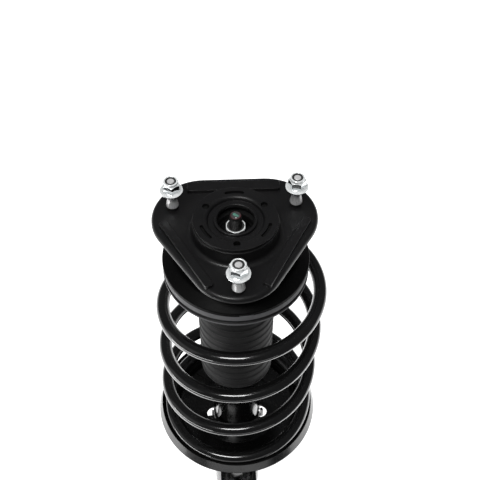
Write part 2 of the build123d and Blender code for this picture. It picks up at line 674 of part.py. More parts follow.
def rebound_stop():
    """Ring on the rod that meets the guide at full extension."""
    radius, bottom, top = REBOUND_STOP
    return turned([(ROD_R, bottom), (radius - 0.5, bottom), (radius, (bottom + top) / 2),
                   (radius - 0.5, top), (ROD_R, top)])


def piston():
    """Valved piston with a groove for its band."""
    outer = CYLINDER_BORE_R - RUNNING_GAP
    floor, low, high = PISTON_BAND
    body = turned([(ROD_THREAD_R, PISTON_BOTTOM), (outer - 1, PISTON_BOTTOM),
                   (outer, PISTON_BOTTOM + 1), (outer, low), (floor, low), (floor, high),
                   (outer, high), (outer, ROD_BOTTOM - 1), (outer - 1, ROD_BOTTOM),
                   (ROD_THREAD_R, ROD_BOTTOM)])
    for index in range(PORT_COUNT):
        place = on_circle(PORT_CIRCLE_R, (index + 0.5) * 360 / PORT_COUNT)
        body -= rod(PORT_R, PISTON_BOTTOM - 1, ROD_BOTTOM + 1, place)
    return body


def piston_band():
    """Low-friction band in the piston's groove."""
    floor, low, high = PISTON_BAND
    return tube(CYLINDER_BORE_R - RUNNING_GAP, floor, low, high)


def piston_nut():
    """Nut that holds the piston on the rod."""
    bar = extrude(RegularPolygon(PISTON_NUT_ACROSS_FLATS / math.sqrt(3), 6),
                  PISTON_BOTTOM - PISTON_NUT_BOTTOM)
    return Pos(0, 0, PISTON_NUT_BOTTOM) * bar - rod(ROD_THREAD_R, SPIGOT_BOTTOM, PISTON_BOTTOM + 1)


# ---- brackets on the tube -----------------------------------------------------------

def knuckle_bracket():
    """Strap around the tube whose two ears take the knuckle between them."""
    outer_r = TUBE_R + BRACKET_SHEET
    inside = EAR_OUTSIDE - BRACKET_SHEET
    height = BRACKET_TOP - BRACKET_BOTTOM
    neck_y = -math.sqrt(TUBE_R ** 2 - inside ** 2)
    strap = Circle(outer_r) + Pos(0, EAR_FRONT / 2) * Rectangle(2 * EAR_OUTSIDE, -EAR_FRONT)
    strap -= Circle(TUBE_R)
    strap -= Pos(0, (EAR_FRONT + neck_y) / 2 - 20) * Rectangle(2 * inside, neck_y - EAR_FRONT + 40)
    bracket = Pos(0, 0, BRACKET_BOTTOM) * extrude(strap, height)
    side = make_face(FilletPolyline(
        (outer_r + 1, BRACKET_BOTTOM), (outer_r + 1, BRACKET_TOP), (-30, BRACKET_TOP),
        (EAR_FRONT, BRACKET_TOP - 10), (EAR_FRONT, BRACKET_BOTTOM + 10), (-30, BRACKET_BOTTOM),
        radius=[1, 1, 8, BRACKET_CORNER_R, BRACKET_CORNER_R, 8], close=True))
    bracket &= extrude(Plane.YZ * side, 80, both=True)
    for height in BOLT_HOLES_Z:
        bracket -= Pos(0, BOLT_Y, height) * Rot(0, 90, 0) * Cylinder(BOLT_HOLE_R, 80)
    return bracket


def bracket_brace():
    """Channel between the ears, in front of the tube, that keeps them apart."""
    inside = EAR_OUTSIDE - BRACKET_SHEET
    front = -TUBE_R - 2.0
    height = BRACE_TOP - BRACE_BOTTOM
    half = BRACE_SHEET / 2
    section = Pos(0, front - half) * Rectangle(2 * inside, BRACE_SHEET)
    section += [Pos(sign * (inside - half), front - 5) * Rectangle(BRACE_SHEET, 10)
                for sign in (-1, 1)]
    return Pos(0, 0, BRACE_BOTTOM) * extrude(section, height)


def link_bracket():
    """Tab on the -X side for the stabiliser link's stud."""
    middle = (TUBE_R + LINK_TAB_REACH) / 2
    tab = make_face(FilletPolyline((-TUBE_R + 3, LINK_TAB_Z - 24), (-TUBE_R + 3, LINK_TAB_Z + 24),
                                   (-middle, LINK_TAB_Z + 21), (-LINK_TAB_REACH, LINK_TAB_Z + 13),
                                   (-LINK_TAB_REACH, LINK_TAB_Z - 13), (-middle, LINK_TAB_Z - 21),
                                   radius=[1, 1, 6, 9, 9, 6], close=True))
    plate = extrude(Plane.XZ * tab, LINK_TAB_SHEET)
    foot = Pos(-TUBE_R - 0.9, -3, LINK_TAB_Z) * Box(8, 20, 46)
    bracket = plate + foot - rod(TUBE_R, LINK_TAB_Z - 40, LINK_TAB_Z + 40)
    hole = Pos(-LINK_TAB_REACH + 13, 0, LINK_TAB_Z) * Rot(90, 0, 0) * Cylinder(LINK_HOLE_R, 40)
    return bracket - hole


def hose_bracket():
    """Strap on the +X side of the tube, with a tab and hole for the brake hose at one end
    and a small upright hook for the sensor lead at the other."""
    strap_r, reach = TUBE_R + HOSE_STRAP_SHEET, HOSE_TAB_REACH
    half_width = HOSE_TAB_HALF_WIDTH
    low, high = HOSE_TAB_Z, HOSE_TAB_Z + HOSE_STRAP_HEIGHT
    sector = make_face(Polyline((0, 0), on_circle(2 * strap_r, HOSE_HOOK_ANGLE - 14),
                                on_circle(3 * strap_r, (HOSE_HOOK_ANGLE + HOSE_TAB_ANGLE) / 2),
                                on_circle(2 * strap_r, HOSE_TAB_ANGLE + 14), close=True))
    strap = (Circle(strap_r) - Circle(TUBE_R)) & sector
    bracket = Pos(0, 0, low) * extrude(strap, high - low)
    tab = make_face(FilletPolyline((TUBE_R - 3, -half_width), (reach - 14, -half_width),
                                   (reach, -half_width + 3), (reach, half_width - 3),
                                   (reach - 14, half_width), (TUBE_R - 3, half_width),
                                   radius=[1, 4, 6, 6, 4, 1], close=True))
    tab -= Pos(reach - 10, 0) * Circle(HOSE_HOLE_R)
    bracket += Pos(0, 0, low) * Rot(0, 0, HOSE_TAB_ANGLE) * extrude(tab, HOSE_TAB_SHEET)
    bar = HOSE_HOOK_BAR
    hook = Pos(TUBE_R + 4, 0, low + bar / 2) * Box(10, bar, bar)
    hook += Pos(TUBE_R + 7.4, 0, low + 7.5) * Box(bar, bar, 15)
    bracket += Rot(0, 0, HOSE_HOOK_ANGLE) * hook
    return bracket - rod(TUBE_R, low - 20, high + 20)


PIECES = {
    "mount_plate": mount_plate,
    "mount_studs": mount_studs,
    "stud_nuts": stud_nuts,
    "mount_lower_shell": mount_lower_shell,
    "mount_rubber": mount_rubber,
    "mount_core": mount_core,
    "rod_washer": rod_washer,
    "rod_nut": rod_nut,
    "rod_nut_insert": rod_nut_insert,
    "bearing_upper_race": lambda: bearing_race(BALL_PLANE + RACE_SPLIT, SHELL_BOTTOM),
    "bearing_lower_race": lambda: bearing_race(SEAT_TOP, BALL_PLANE - RACE_SPLIT),
    "bearing_cage": bearing_cage,
    "bearing_balls": bearing_balls,
    "bearing_seal": bearing_seal,
    "upper_spring_seat": upper_spring_seat,
    "upper_isolator": upper_isolator,
    "dust_boot": dust_boot,
    "bump_stop": bump_stop,
    "coil_spring": coil_spring,
    "lower_spring_seat": lower_spring_seat,
    "lower_isolator": lower_isolator,
    "strut_tube": strut_tube,
    "tube_foot": tube_foot,
    "pressure_tube": pressure_tube,
    "base_valve": base_valve,
    "rod_guide": rod_guide,
    "rod_bush": rod_bush,
    "rod_seal": rod_seal,
    "tube_cap": tube_cap,
    "piston_rod": piston_rod,
    "rebound_stop": rebound_stop,
    "piston": piston,
    "piston_band": piston_band,
    "piston_nut": piston_nut,
    "knuckle_bracket": knuckle_bracket,
    "bracket_brace": bracket_brace,
    "link_bracket": link_bracket,
    "hose_bracket": hose_bracket,
}

os.makedirs("parts", exist_ok=True)
for name, make in PIECES.items():
    save(name, make())
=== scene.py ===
import json
import math

import bmesh
import bpy
import numpy as np
from mathutils import Matrix, Vector


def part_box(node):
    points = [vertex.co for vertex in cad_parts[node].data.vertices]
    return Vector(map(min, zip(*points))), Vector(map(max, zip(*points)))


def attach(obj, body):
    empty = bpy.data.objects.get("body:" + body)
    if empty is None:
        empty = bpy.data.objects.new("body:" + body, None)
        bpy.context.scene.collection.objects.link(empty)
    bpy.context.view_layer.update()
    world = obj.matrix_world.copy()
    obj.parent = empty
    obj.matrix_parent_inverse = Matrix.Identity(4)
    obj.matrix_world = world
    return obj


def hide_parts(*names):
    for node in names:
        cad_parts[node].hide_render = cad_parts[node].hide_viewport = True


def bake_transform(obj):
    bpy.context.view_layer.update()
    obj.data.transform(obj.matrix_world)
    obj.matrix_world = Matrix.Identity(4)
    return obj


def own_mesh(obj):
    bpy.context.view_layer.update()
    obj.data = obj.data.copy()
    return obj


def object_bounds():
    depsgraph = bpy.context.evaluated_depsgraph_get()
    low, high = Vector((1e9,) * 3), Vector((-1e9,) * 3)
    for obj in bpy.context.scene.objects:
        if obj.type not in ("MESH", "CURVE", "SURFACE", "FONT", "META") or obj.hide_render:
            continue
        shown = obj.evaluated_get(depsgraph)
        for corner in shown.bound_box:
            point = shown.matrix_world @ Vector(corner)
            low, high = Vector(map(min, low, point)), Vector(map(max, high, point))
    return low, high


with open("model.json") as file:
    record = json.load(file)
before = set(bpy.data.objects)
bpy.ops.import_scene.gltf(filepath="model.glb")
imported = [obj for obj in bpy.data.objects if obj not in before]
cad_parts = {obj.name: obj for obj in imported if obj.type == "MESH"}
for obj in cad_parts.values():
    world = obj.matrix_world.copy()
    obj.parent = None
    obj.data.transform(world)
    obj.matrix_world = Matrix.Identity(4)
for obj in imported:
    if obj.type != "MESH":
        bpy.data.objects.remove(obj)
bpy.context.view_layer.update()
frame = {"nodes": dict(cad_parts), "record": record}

MM = 0.001

# ---- sizes, in metres ---------------------------------------------------------------

STUD_CIRCLE_R = 68.5 * MM
STUD_ANGLES = (30.0, 150.0, 270.0)
STUD_HEAD_R = 7.6 * MM
STUD_KNURL_R = 5.5 * MM
STUD_SHOULDER_R = 6.1 * MM
STUD_SHOULDER_FOOT = 4.0 * MM   # the shoulder flares out to an edge this high
STUD_CREST_R = 4.95 * MM
STUD_THREAD = (17.0 * MM, 34.2 * MM, 1.25 * MM, 0.62 * MM)   # bottom, top, pitch and depth
STUD_NECK_R = 4.5 * MM
STUD_TIP_R = 3.3 * MM

NUT_FLATS = 15.0 * MM           # across flats
NUT_FLANGE_R = 11.0 * MM
NUT_HEX_TOP = 33.6 * MM
NUT_COLLAR_R = 7.0 * MM
NUT_LIP = 0.9 * MM              # radius of the crimped lip
NUT_BORE_R = 4.6 * MM
NUT_TURNS = (20.0, 6.0, 8.0)    # degrees, one for each stud
PLATE_THICKNESS = 3.0 * MM
NEAR_AXIS = 0.02 * MM           # radius that closes a turned bar's ends

ROD_R = 11.0 * MM
ROD_THREAD_R = 6.0 * MM
ROD_SHOULDER = -17.0 * MM       # the washer under the mount's core sits on this shoulder
ROD_FOOT = -250.0 * MM          # the piston sits against this step
ROD_THREAD_FOOT = 2.4 * MM
ROD_PITCH = 1.25 * MM
ROD_TIP_R = 4.7 * MM
ROD_NUT_FLATS = 18.0 * MM
ROD_NUT_EDGE_R = 9.35 * MM      # the nut's corners are turned down from here
ROD_NUT_WELL_R = 8.1 * MM

BOOT_PLEATS = 15
BOOT_TOP_R = 40.6 * MM
BOOT_BOTTOM_R = 38.6 * MM
BOOT_WALL = 1.5 * MM
BOOT_THROAT_R = 30.0 * MM
BOOT_COLLAR_HEIGHT = 9.4 * MM   # collar above the first pleat
BOOT_ROLL_HEIGHT = 4.4 * MM     # rolled foot below the last pleat
BOOT_LIP_R = 2.0 * MM

BUMP_BORE_R = 11.6 * MM
BUMP_BULGES = 3

# the groove between these heights is coloured near black as painted shade
ISOLATOR_GROOVE = (-48.2 * MM, -43.4 * MM)      # bottom and top

# The coil's angles are in degrees from +X: it starts to rise at COIL_START, climbs evenly
# from COIL_OPEN to COIL_CLOSE, and lies flat again at COIL_END.
WIRE_R = 6.9 * MM
COIL_R = 80.0 * MM
COIL_FOOT_R = 78.3 * MM
COIL_END_R = 62.0 * MM
COIL_BOTTOM = -302.6 * MM
COIL_RISE = 0.193 * MM          # per degree
COIL_START, COIL_OPEN, COIL_CLOSE, COIL_END = -910.0, -730.0, 230.0, 560.0
COIL_TAIL = 160.0               # flat wire before COIL_START
COIL_FOOT_EASE = (20.0, 150.0)  # the foot narrows from this far below COIL_OPEN, over this turn
COIL_END_EASE = (110.0, 200.0)  # the end narrows from this far past COIL_CLOSE, over this turn
COIL_TILT = 1.4                 # degrees about COIL_PIVOT
COIL_PIVOT = Vector((2.7, 0.0, -180.0)) * MM

WELD_R = 2.0 * MM

FLOOR_SIDE = 12.0
FLOOR_FRONT = 0.22              # the floor ends this far in front of the strut
FLOOR_GAP = 2.0 * MM
FLOOR_GLOW = 0.8
SURROUND_GLOW = 0.08
LIGHT_TARGET = Vector((0.0, 0.0, -0.2))

CAMERA_AZIMUTH, CAMERA_ELEVATION = -2.33, 49.04     # degrees
CAMERA_DISTANCE = 808.7 * MM
CAMERA_TARGET = Vector((4.04, 0.0, -11.1)) * MM     # before the turn by the azimuth
SENSOR, LENS = 36.0, 64.023                         # millimetres


# ---- mesh helpers -------------------------------------------------------------------

def new_piece(name, verts, faces, material, crease=35.0):
    """Mesh object from vertices and faces, smooth except at edges sharper than crease."""
    mesh = bpy.data.meshes.new(name)
    mesh.from_pydata([tuple(v) for v in verts], [], faces)
    mesh.validate()
    mesh.shade_smooth()
    mesh.set_sharp_from_angle(angle=math.radians(crease))
    mesh.materials.append(material)
    piece = bpy.data.objects.new(name, mesh)
    bpy.context.scene.collection.objects.link(piece)
    return piece


def rounded(points, radius, steps=6, closed=True):
    """(r, z) outline with each corner turned into an arc; radius is one number or one for each."""
    count = len(points)
    radii = radius if hasattr(radius, "__len__") else [radius] * count
    outline = []
    for index, corner in enumerate(points):
        if not closed and index in (0, count - 1):
            outline.append(Vector(corner))
            continue
        corner = Vector(corner)
        before = Vector(points[index - 1]) - corner
        after = Vector(points[(index + 1) % count]) - corner
        angle = before.angle(after)
        limit = 0.49 * min(before.length, after.length)
        reach = min(radii[index] / math.tan(angle / 2), limit)
        if reach < 1e-7 or angle > math.radians(178):
            outline.append(corner)
            continue
        turn_r = reach * math.tan(angle / 2)
        middle = (before.normalized() + after.normalized()).normalized()
        centre = corner + middle * (turn_r / math.sin(angle / 2))
        start = corner + before.normalized() * reach - centre
        end = corner + after.normalized() * reach - centre
        sweep = start.angle_signed(end)
        for step in range(steps + 1):
            arm = start.copy()
            arm.rotate(Matrix.Rotation(-sweep * step / steps, 2))
            outline.append(centre + arm)
    return outline


def skin(rings, around, closed):
    """Faces between rings of points. A closed skin joins its last ring to its first,
    an open one gets a cap at each end."""
    faces = []
    for ring in range(rings if closed else rings - 1):
        beyond = (ring + 1) % rings
        for index in range(around):
            across = (index + 1) % around
            faces.append((ring * around + index, ring * around + across,
                          beyond * around + across, beyond * around + index))
    if not closed:
        faces.append(tuple(reversed(range(around))))
        faces.append(tuple((rings - 1) * around + index for index in range(around)))
    return faces


def stacked(name, rows, material, crease=35.0, closed=True, columns=144):
    """Solid around Z from rows of (reach, height), where the reach is a radius or a
    function of the angle."""
    verts = []
    for reach, height in rows:
        for column in range(columns):
            angle = 2 * math.pi * column / columns
            r = reach(angle) if callable(reach) else reach
            verts.append((r * math.cos(angle), r * math.sin(angle), height))
    return face_out(new_piece(name, verts, skin(len(rows), columns, closed), material, crease))


def face_out(piece):
    """Turns the faces of a closed mesh outwards."""
    mesh = bmesh.new()
    mesh.from_mesh(piece.data)
    bmesh.ops.recalc_face_normals(mesh, faces=mesh.faces)
    mesh.to_mesh(piece.data)
    mesh.free()
    return piece


def join(name, pieces):
    """One object from several, keeping each one's material."""
    bpy.ops.object.select_all(action="DESELECT")
    for piece in pieces:
        piece.select_set(True)
    bpy.context.view_layer.objects.active = pieces[0]
    bpy.ops.object.join()
    pieces[0].name = name
    return pieces[0]


def ease(share):
    """Smooth step from 0 to 1."""
    share = min(max(share, 0.0), 1.0)
    return share * share * (3 - 2 * share)


# ---- materials ----------------------------------------------------------------------

class Nodes:
    """Short way to build one material's node tree."""

    def __init__(self, name):
        self.material = bpy.data.materials.new(name)
        self.material.use_nodes = True
        self.tree = self.material.node_tree
        self.shader = self.tree.nodes["Principled BSDF"]
        self.place = self.tree.nodes.new("ShaderNodeTexCoord").outputs["Object"]

    def link(self, source, target):
        self.tree.links.new(source, target)

    def noise(self, scale, detail=4.0, roughness=0.55, stretch=None):
        """Noise in object space; scale is in features per metre."""
        node = self.tree.nodes.new("ShaderNodeTexNoise")
        node.inputs["Scale"].default_value = scale
        node.inputs["Detail"].default_value = detail
        node.inputs["Roughness"].default_value = roughness
        source = self.place
        if stretch:
            mapping = self.tree.nodes.new("ShaderNodeMapping")
            mapping.inputs["Scale"].default_value = stretch
            self.link(self.place, mapping.inputs["Vector"])
            source = mapping.outputs["Vector"]
        self.link(source, node.inputs["Vector"])
        return node.outputs["Fac"]

    def span(self, value, low, high, start=0.3, end=0.7):
        """Maps a value from start..end to low..high."""
        node = self.tree.nodes.new("ShaderNodeMapRange")
        node.inputs["From Min"].default_value = start
        node.inputs["From Max"].default_value = end
        node.inputs["To Min"].default_value = low
        node.inputs["To Max"].default_value = high
        self.link(value, node.inputs["Value"])
        return node.outputs["Result"]

    def blend(self, share, first, second):
        """Colour between first and second."""
        node = self.tree.nodes.new("ShaderNodeMix")
        node.data_type = "RGBA"
        self.link(share, node.inputs["Factor"])
        for socket, value in (("A", first), ("B", second)):
            target = [i for i in node.inputs if i.name == socket and i.type == "RGBA"][0]
            if isinstance(value, tuple):
                target.default_value = (*value, 1.0)
            else:
                self.link(value, target)
        return [o for o in node.outputs if o.type == "RGBA"][0]

    def bump(self, height, strength, distance, below=None):
        """Bump from a height; distance is in metres."""
        node = self.tree.nodes.new("ShaderNodeBump")
        node.inputs["Strength"].default_value = strength
        node.inputs["Distance"].default_value = distance
        self.link(height, node.inputs["Height"])
        if below:
            self.link(below, node.inputs["Normal"])
        return node.outputs["Normal"]

    def set(self, **values):
        """Numbers and colours on the shader's own sockets."""
        for key, value in values.items():
            socket = self.shader.inputs[key.replace("_", " ")]
            socket.default_value = (*value, 1.0) if isinstance(value, tuple) else value


def painted(name, dark, light, rough_low, rough_high, peel, coat=0.0, coat_rough=0.05, ior=1.5):
    """Black paint or electrocoat on steel: slight orange peel, uneven gloss and fine dust."""
    n = Nodes(name)
    patches = n.noise(22, 5)
    dust = n.span(n.noise(900, 2), 0.0, 1.0, 0.62, 0.80)
    colour = n.blend(n.span(patches, 0, 1), dark, light)
    speck = tuple(min(1.0, c * 2 + 0.004) for c in light)
    n.link(n.blend(dust, colour, speck), n.shader.inputs["Base Color"])
    n.link(n.span(n.noise(60, 6), rough_low, rough_high), n.shader.inputs["Roughness"])
    normal = n.bump(n.noise(450, 2), peel, 0.0004)
    normal = n.bump(n.noise(2600, 2), peel * 0.5, 0.0001, normal)
    n.link(normal, n.shader.inputs["Normal"])
    n.set(IOR=ior)
    if coat:
        n.set(Coat_Weight=coat, Coat_Roughness=coat_rough)
    return n.material


def metal(name, dark, light, rough_low, rough_high, grain=0.15, stretch=None, scale=260,
          sheen=1.0):
    """Bare or plated metal with uneven tint and gloss, and a fine tooled grain. A sheen
    below 1 makes part of it a matt plating."""
    n = Nodes(name)
    tint = n.span(n.noise(120, 6, 0.6), 0, 1)
    n.link(n.blend(tint, dark, light), n.shader.inputs["Base Color"])
    n.link(n.span(n.noise(scale, 6, 0.6, stretch), rough_low, rough_high),
           n.shader.inputs["Roughness"])
    n.link(n.bump(n.noise(scale * 6, 3, 0.6, stretch), grain, 0.00008), n.shader.inputs["Normal"])
    n.set(Metallic=sheen)
    return n.material


def rubber(name, dark, light, rough_low, rough_high, grain=0.4, bloom=0.0, ior=1.33):
    """Moulded rubber: fine matt grain, with a little grey bloom in patches."""
    n = Nodes(name)
    colour = n.blend(n.span(n.noise(40, 6), 0, 1), dark, light)
    if bloom:
        pale = tuple(c + bloom for c in light)
        colour = n.blend(n.span(n.noise(14, 8, 0.7), 0, 0.7, 0.5, 0.75), colour, pale)
    n.link(colour, n.shader.inputs["Base Color"])
    n.link(n.span(n.noise(90, 6), rough_low, rough_high), n.shader.inputs["Roughness"])
    normal = n.bump(n.noise(1800, 3), grain, 0.00015)
    n.link(n.bump(n.noise(240, 3), grain * 0.5, 0.0004, normal), n.shader.inputs["Normal"])
    n.set(IOR=ior)
    return n.material


def groove_shaded_rubber(name, dark, light, groove_bottom, groove_top):
    """Grey rubber, clean on its outer faces, with painted shade that colours the groove between
    them near black.
    """
    n = Nodes(name)
    split = n.tree.nodes.new("ShaderNodeSeparateXYZ")
    n.link(n.place, split.inputs["Vector"])
    height = split.outputs["Z"]
    edge = 0.15 * MM
    face = n.blend(n.span(n.noise(40, 6), 0, 1), dark, light)
    # painted shade: the groove takes a near-black copy of the rubber's colour
    groove = tuple(c * 0.08 for c in dark)
    colour = face
    for step, above in ((groove_bottom, groove), (groove_top, face)):
        colour = n.blend(n.span(height, 0, 1, step - edge, step + edge), colour, above)
    n.link(colour, n.shader.inputs["Base Color"])
    n.link(n.span(n.noise(90, 6), .45, .6), n.shader.inputs["Roughness"])
    n.link(n.bump(n.noise(1800, 3), 0.3, 0.00015), n.shader.inputs["Normal"])
    n.set(IOR=1.33)
    return n.material


def foam(name, dark, light):
    """Microcellular polyurethane: matt skin with small pores, each darkened inside by painted
    shade.
    """
    n = Nodes(name)
    colour = n.blend(n.span(n.noise(60, 5), 0, 1), dark, light)
    cells = n.tree.nodes.new("ShaderNodeTexVoronoi")
    cells.inputs["Scale"].default_value = 900
    n.link(n.place, cells.inputs["Vector"])
    # painted shade: the colour darkens towards each pore's middle
    pores = n.span(cells.outputs["Distance"], 1.0, 0.0, 0.0, 0.35)
    n.link(n.blend(pores, colour, tuple(c * 0.6 for c in dark)), n.shader.inputs["Base Color"])
    n.link(n.span(n.noise(200, 4), 0.8, 0.95), n.shader.inputs["Roughness"])
    n.link(n.bump(cells.outputs["Distance"], 0.5, 0.0004), n.shader.inputs["Normal"])
    return n.material


def plastic(name, dark, light, rough_low=0.35, rough_high=0.5):
    """Moulded plastic with a light spark texture."""
    n = Nodes(name)
    n.link(n.blend(n.span(n.noise(80, 4), 0, 1), dark, light), n.shader.inputs["Base Color"])
    n.link(n.span(n.noise(150, 4), rough_low, rough_high), n.shader.inputs["Roughness"])
    n.link(n.bump(n.noise(2200, 2), 0.2, 0.0001), n.shader.inputs["Normal"])
    return n.material


def dabbed_paint(name, dark, light):
    """Marking paint, brushed on by hand; the same shader also makes a small white painted
    highlight.
    """
    n = Nodes(name)
    n.link(n.blend(n.span(n.noise(900, 4), 0, 1), dark, light), n.shader.inputs["Base Color"])
    n.link(n.span(n.noise(700, 3), .3, .5), n.shader.inputs["Roughness"])
    n.link(n.bump(n.noise(1200, 3), 0.5, 0.0003), n.shader.inputs["Normal"])
    return n.material


MATERIALS = {
    "satin_black_steel": painted("satin_black_steel", (.004, .004, .0042), (.006, .0058, .006),
                                 .30, .42, .05),
    "gloss_black_paint": painted("gloss_black_paint", (.0015, .0015, .0015), (.003, .003, .003),
                                 .22, .32, .008, coat=0.6, coat_rough=0.10),
    "dull_black_paint": painted("dull_black_paint", (.001, .001, .001), (.002, .002, .002),
                                .45, .55, .02, ior=1.2),
    "gloss_black_spring": painted("gloss_black_spring", (.003, .003, .003), (.0045, .0045, .0045),
                                  .16, .22, .008, coat=1.0, coat_rough=0.03),
    "zinc_plate": metal("zinc_plate", (.78, .80, .80), (.88, .90, .90), .18, .26, 0.02,
                        sheen=0.45),
    "zinc_flats": metal("zinc_flats", (.74, .77, .78), (.84, .87, .88), .08, .14, 0.02),
    "stud_zinc": metal("stud_zinc", (.48, .48, .48), (.60, .60, .60), .24, .34, 0.04,
                       stretch=(1, 1, 0.1), sheen=0.4),
    "nut_insert": metal("nut_insert", (.03, .03, .03), (.16, .16, .16), .45, .65, 0.5,
                        scale=500, sheen=0.3),
    "bore_shadow": metal("bore_shadow", (.025, .025, .025), (.05, .05, .05), .5, .7, 0.1,
                         sheen=0.2),
    "bare_tip": metal("bare_tip", (.03, .03, .03), (.06, .06, .06), .40, .55, 0.2,
                      scale=900, sheen=0.3),
    "black_steel": painted("black_steel", (.0015, .0015, .0015), (.004, .0036, .0032),
                           .55, .7, .02),
    "dark_steel": metal("dark_steel", (.05, .05, .052), (.10, .10, .105), .34, .5),
    "bare_steel": metal("bare_steel", (.45, .45, .46), (.58, .58, .59), .25, .4),
    "bearing_steel": metal("bearing_steel", (.6, .6, .62), (.72, .72, .74), .12, .2),
    "sintered_steel": metal("sintered_steel", (.16, .16, .16), (.26, .26, .26), .5, .7, 0.5),
    "hard_chrome": metal("hard_chrome", (.70, .71, .73), (.80, .81, .82), .06, .12, 0.05,
                         stretch=(1, 1, 30)),
    "bronze": metal("bronze", (.42, .25, .10), (.58, .38, .17), .3, .45),
    "black_rubber": rubber("black_rubber", (.003, .003, .003), (.005, .005, .005), .6, .8),
    "grey_rubber": groove_shaded_rubber("grey_rubber", (.11, .11, .115), (.15, .15, .155),
                                  *ISOLATOR_GROOVE),
    "boot_rubber": rubber("boot_rubber", (.019, .019, .0192), (.026, .026, .0262), .40, .50,
                          grain=0.06, bloom=0.003, ior=1.2),
    "foam": foam("foam", (.42, .33, .15), (.55, .45, .23)),
    "nylon": plastic("nylon", (.02, .02, .02), (.03, .03, .03)),
    "green_paint": dabbed_paint("green_paint", (.025, .06, .048), (.07, .19, .145)),
    # painted highlight: white for a small glint on the rod's tip
    "painted_highlight_white": dabbed_paint("painted_highlight_white", (.60, .60, .60), (.85, .85, .85)),
    "red_fringe": dabbed_paint("red_fringe", (.030, .006, .008), (.07, .015, .02)),
}

NODE_MATERIALS = {"upper_spring_seat": "dull_black_paint"}     # nodes with a look of their own


def paint_cad_nodes():
    """Every CAD node takes its own material, or else the material of its slot."""
    for entry in frame["record"]["subparts"]:
        node = frame["nodes"][entry["node"]]
        material = MATERIALS[NODE_MATERIALS.get(entry["node"], entry["material_slot"])]
        if not node.data.materials:
            node.data.materials.append(material)
        for slot in node.material_slots:
            slot.material = material


# ---- coil spring --------------------------------------------------------------------

def ramp(angle, start, end):
    """Integral of a slope that grows evenly from 0 at start to 1 at end."""
    if angle <= start:
        return 0.0
    if angle >= end:
        return (end - start) / 2 + angle - end
    return (angle - start) ** 2 / (2 * (end - start))


def coil_centre(angle):
    """Wire centre at an angle along the coil, before the spring's lean."""
    rise = ramp(angle, COIL_START, COIL_OPEN) - ramp(angle, COIL_CLOSE, COIL_END)
    wait, sweep = COIL_END_EASE
    radius = COIL_R - (COIL_R - COIL_END_R) * ease((angle - COIL_CLOSE - wait) / sweep)
    wait, sweep = COIL_FOOT_EASE
    radius -= (COIL_R - COIL_FOOT_R) * ease((COIL_OPEN - wait - angle) / sweep)
    turn = math.radians(angle)
    return Vector((radius * math.cos(turn), radius * math.sin(turn),
                   COIL_BOTTOM + COIL_RISE * rise))


def coil_spring():
    """Right-handed spring of round wire with closed ends."""
    first, last = COIL_START - COIL_TAIL, COIL_END
    step, around = 2.5, 40
    count = int((last - first) / step)
    lean = Matrix.Rotation(math.radians(COIL_TILT), 3, "Y")
    drop = Vector((0, 0, COIL_PIVOT.z))
    low = coil_centre(first).z
    high = coil_centre(last).z
    verts, shares = [], []
    chamfer = ((0.0, 0.80), (0.7 * MM, 0.93), (1.6 * MM, 1.0))      # depth and share of WIRE_R
    stations = [first + (last - first) * index / count for index in range(count + 1)]
    rings = [(first, inset, share) for inset, share in chamfer]
    rings += [(angle, 0.0, 1.0) for angle in stations[1:-1]]
    rings += [(last, -inset, share) for inset, share in reversed(chamfer)]
    for angle, inset, share in rings:
        centre = coil_centre(angle)
        tangent = (coil_centre(angle + 0.5) - coil_centre(angle - 0.5)).normalized()
        out = Vector((centre.x, centre.y, 0)).normalized()
        out = (out - tangent * out.dot(tangent)).normalized()
        up = tangent.cross(out)
        for index in range(around):
            turn = 2 * math.pi * index / around
            arm = (out * math.cos(turn) + up * math.sin(turn)) * WIRE_R * share
            point = centre + tangent * inset + arm
            verts.append(lean @ (point - drop) + COIL_PIVOT)
            shares.append(min(max((centre.z - low) / (high - low), 0.0), 1.0))
    faces = skin(len(rings), around, False)
    spring = new_piece("spring_wire", verts, faces, MATERIALS["gloss_black_spring"], 50)
    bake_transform(spring)
    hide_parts("coil_spring")


# ---- dust boot and bump stop --------------------------------------------------------

def dust_boot():
    """Pleated boot: broad bands with a thin raised ridge between them and a rolled foot."""
    low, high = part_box("dust_boot")
    head = high.z - BOOT_COLLAR_HEIGHT
    foot = low.z + BOOT_ROLL_HEIGHT
    pitch = (head - foot) / BOOT_PLEATS
    # one pleat: how far it stands out in millimetres, and at what share of the pitch
    band = [(-0.7, 0.03), (-0.6, 0.10), (-0.55, 0.50), (-0.6, 0.76), (-0.35, 0.82),
            (0.1, 0.90), (0.15, 0.94), (0.0, 0.97), (-0.5, 1.0)]
    outer = [(BOOT_TOP_R, head)]
    for index in range(BOOT_PLEATS):
        radius = BOOT_TOP_R + (BOOT_BOTTOM_R - BOOT_TOP_R) * index / (BOOT_PLEATS - 1)
        outer += [(radius + rise * MM, head - (index + part) * pitch) for rise, part in band]
    centre = Vector((BOOT_BOTTOM_R - 1.4 * MM, low.z + BOOT_LIP_R))
    for step in range(9):
        turn = math.radians(80 - 170 * step / 8)
        outer.append((centre.x + BOOT_LIP_R * math.cos(turn),
                      centre.y + BOOT_LIP_R * math.sin(turn)))
    inner = [(min(radius, centre.x + 1 * MM) - BOOT_WALL, height)
             for radius, height in reversed(outer)]
    collar = rounded([(BOOT_THROAT_R, high.z), (high.x, high.z), (high.x, high.z - 2.4 * MM),
                      (BOOT_TOP_R - 1.6 * MM, high.z - 3.4 * MM)], 0.3 * MM, 3, False)
    profile = [tuple(p) for p in collar] + outer + inner + [(BOOT_THROAT_R, high.z - 2.4 * MM)]
    boot = stacked("boot_bellows", profile, MATERIALS["boot_rubber"], 60)
    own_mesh(boot)
    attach(boot, "upper_seat")
    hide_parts("dust_boot")


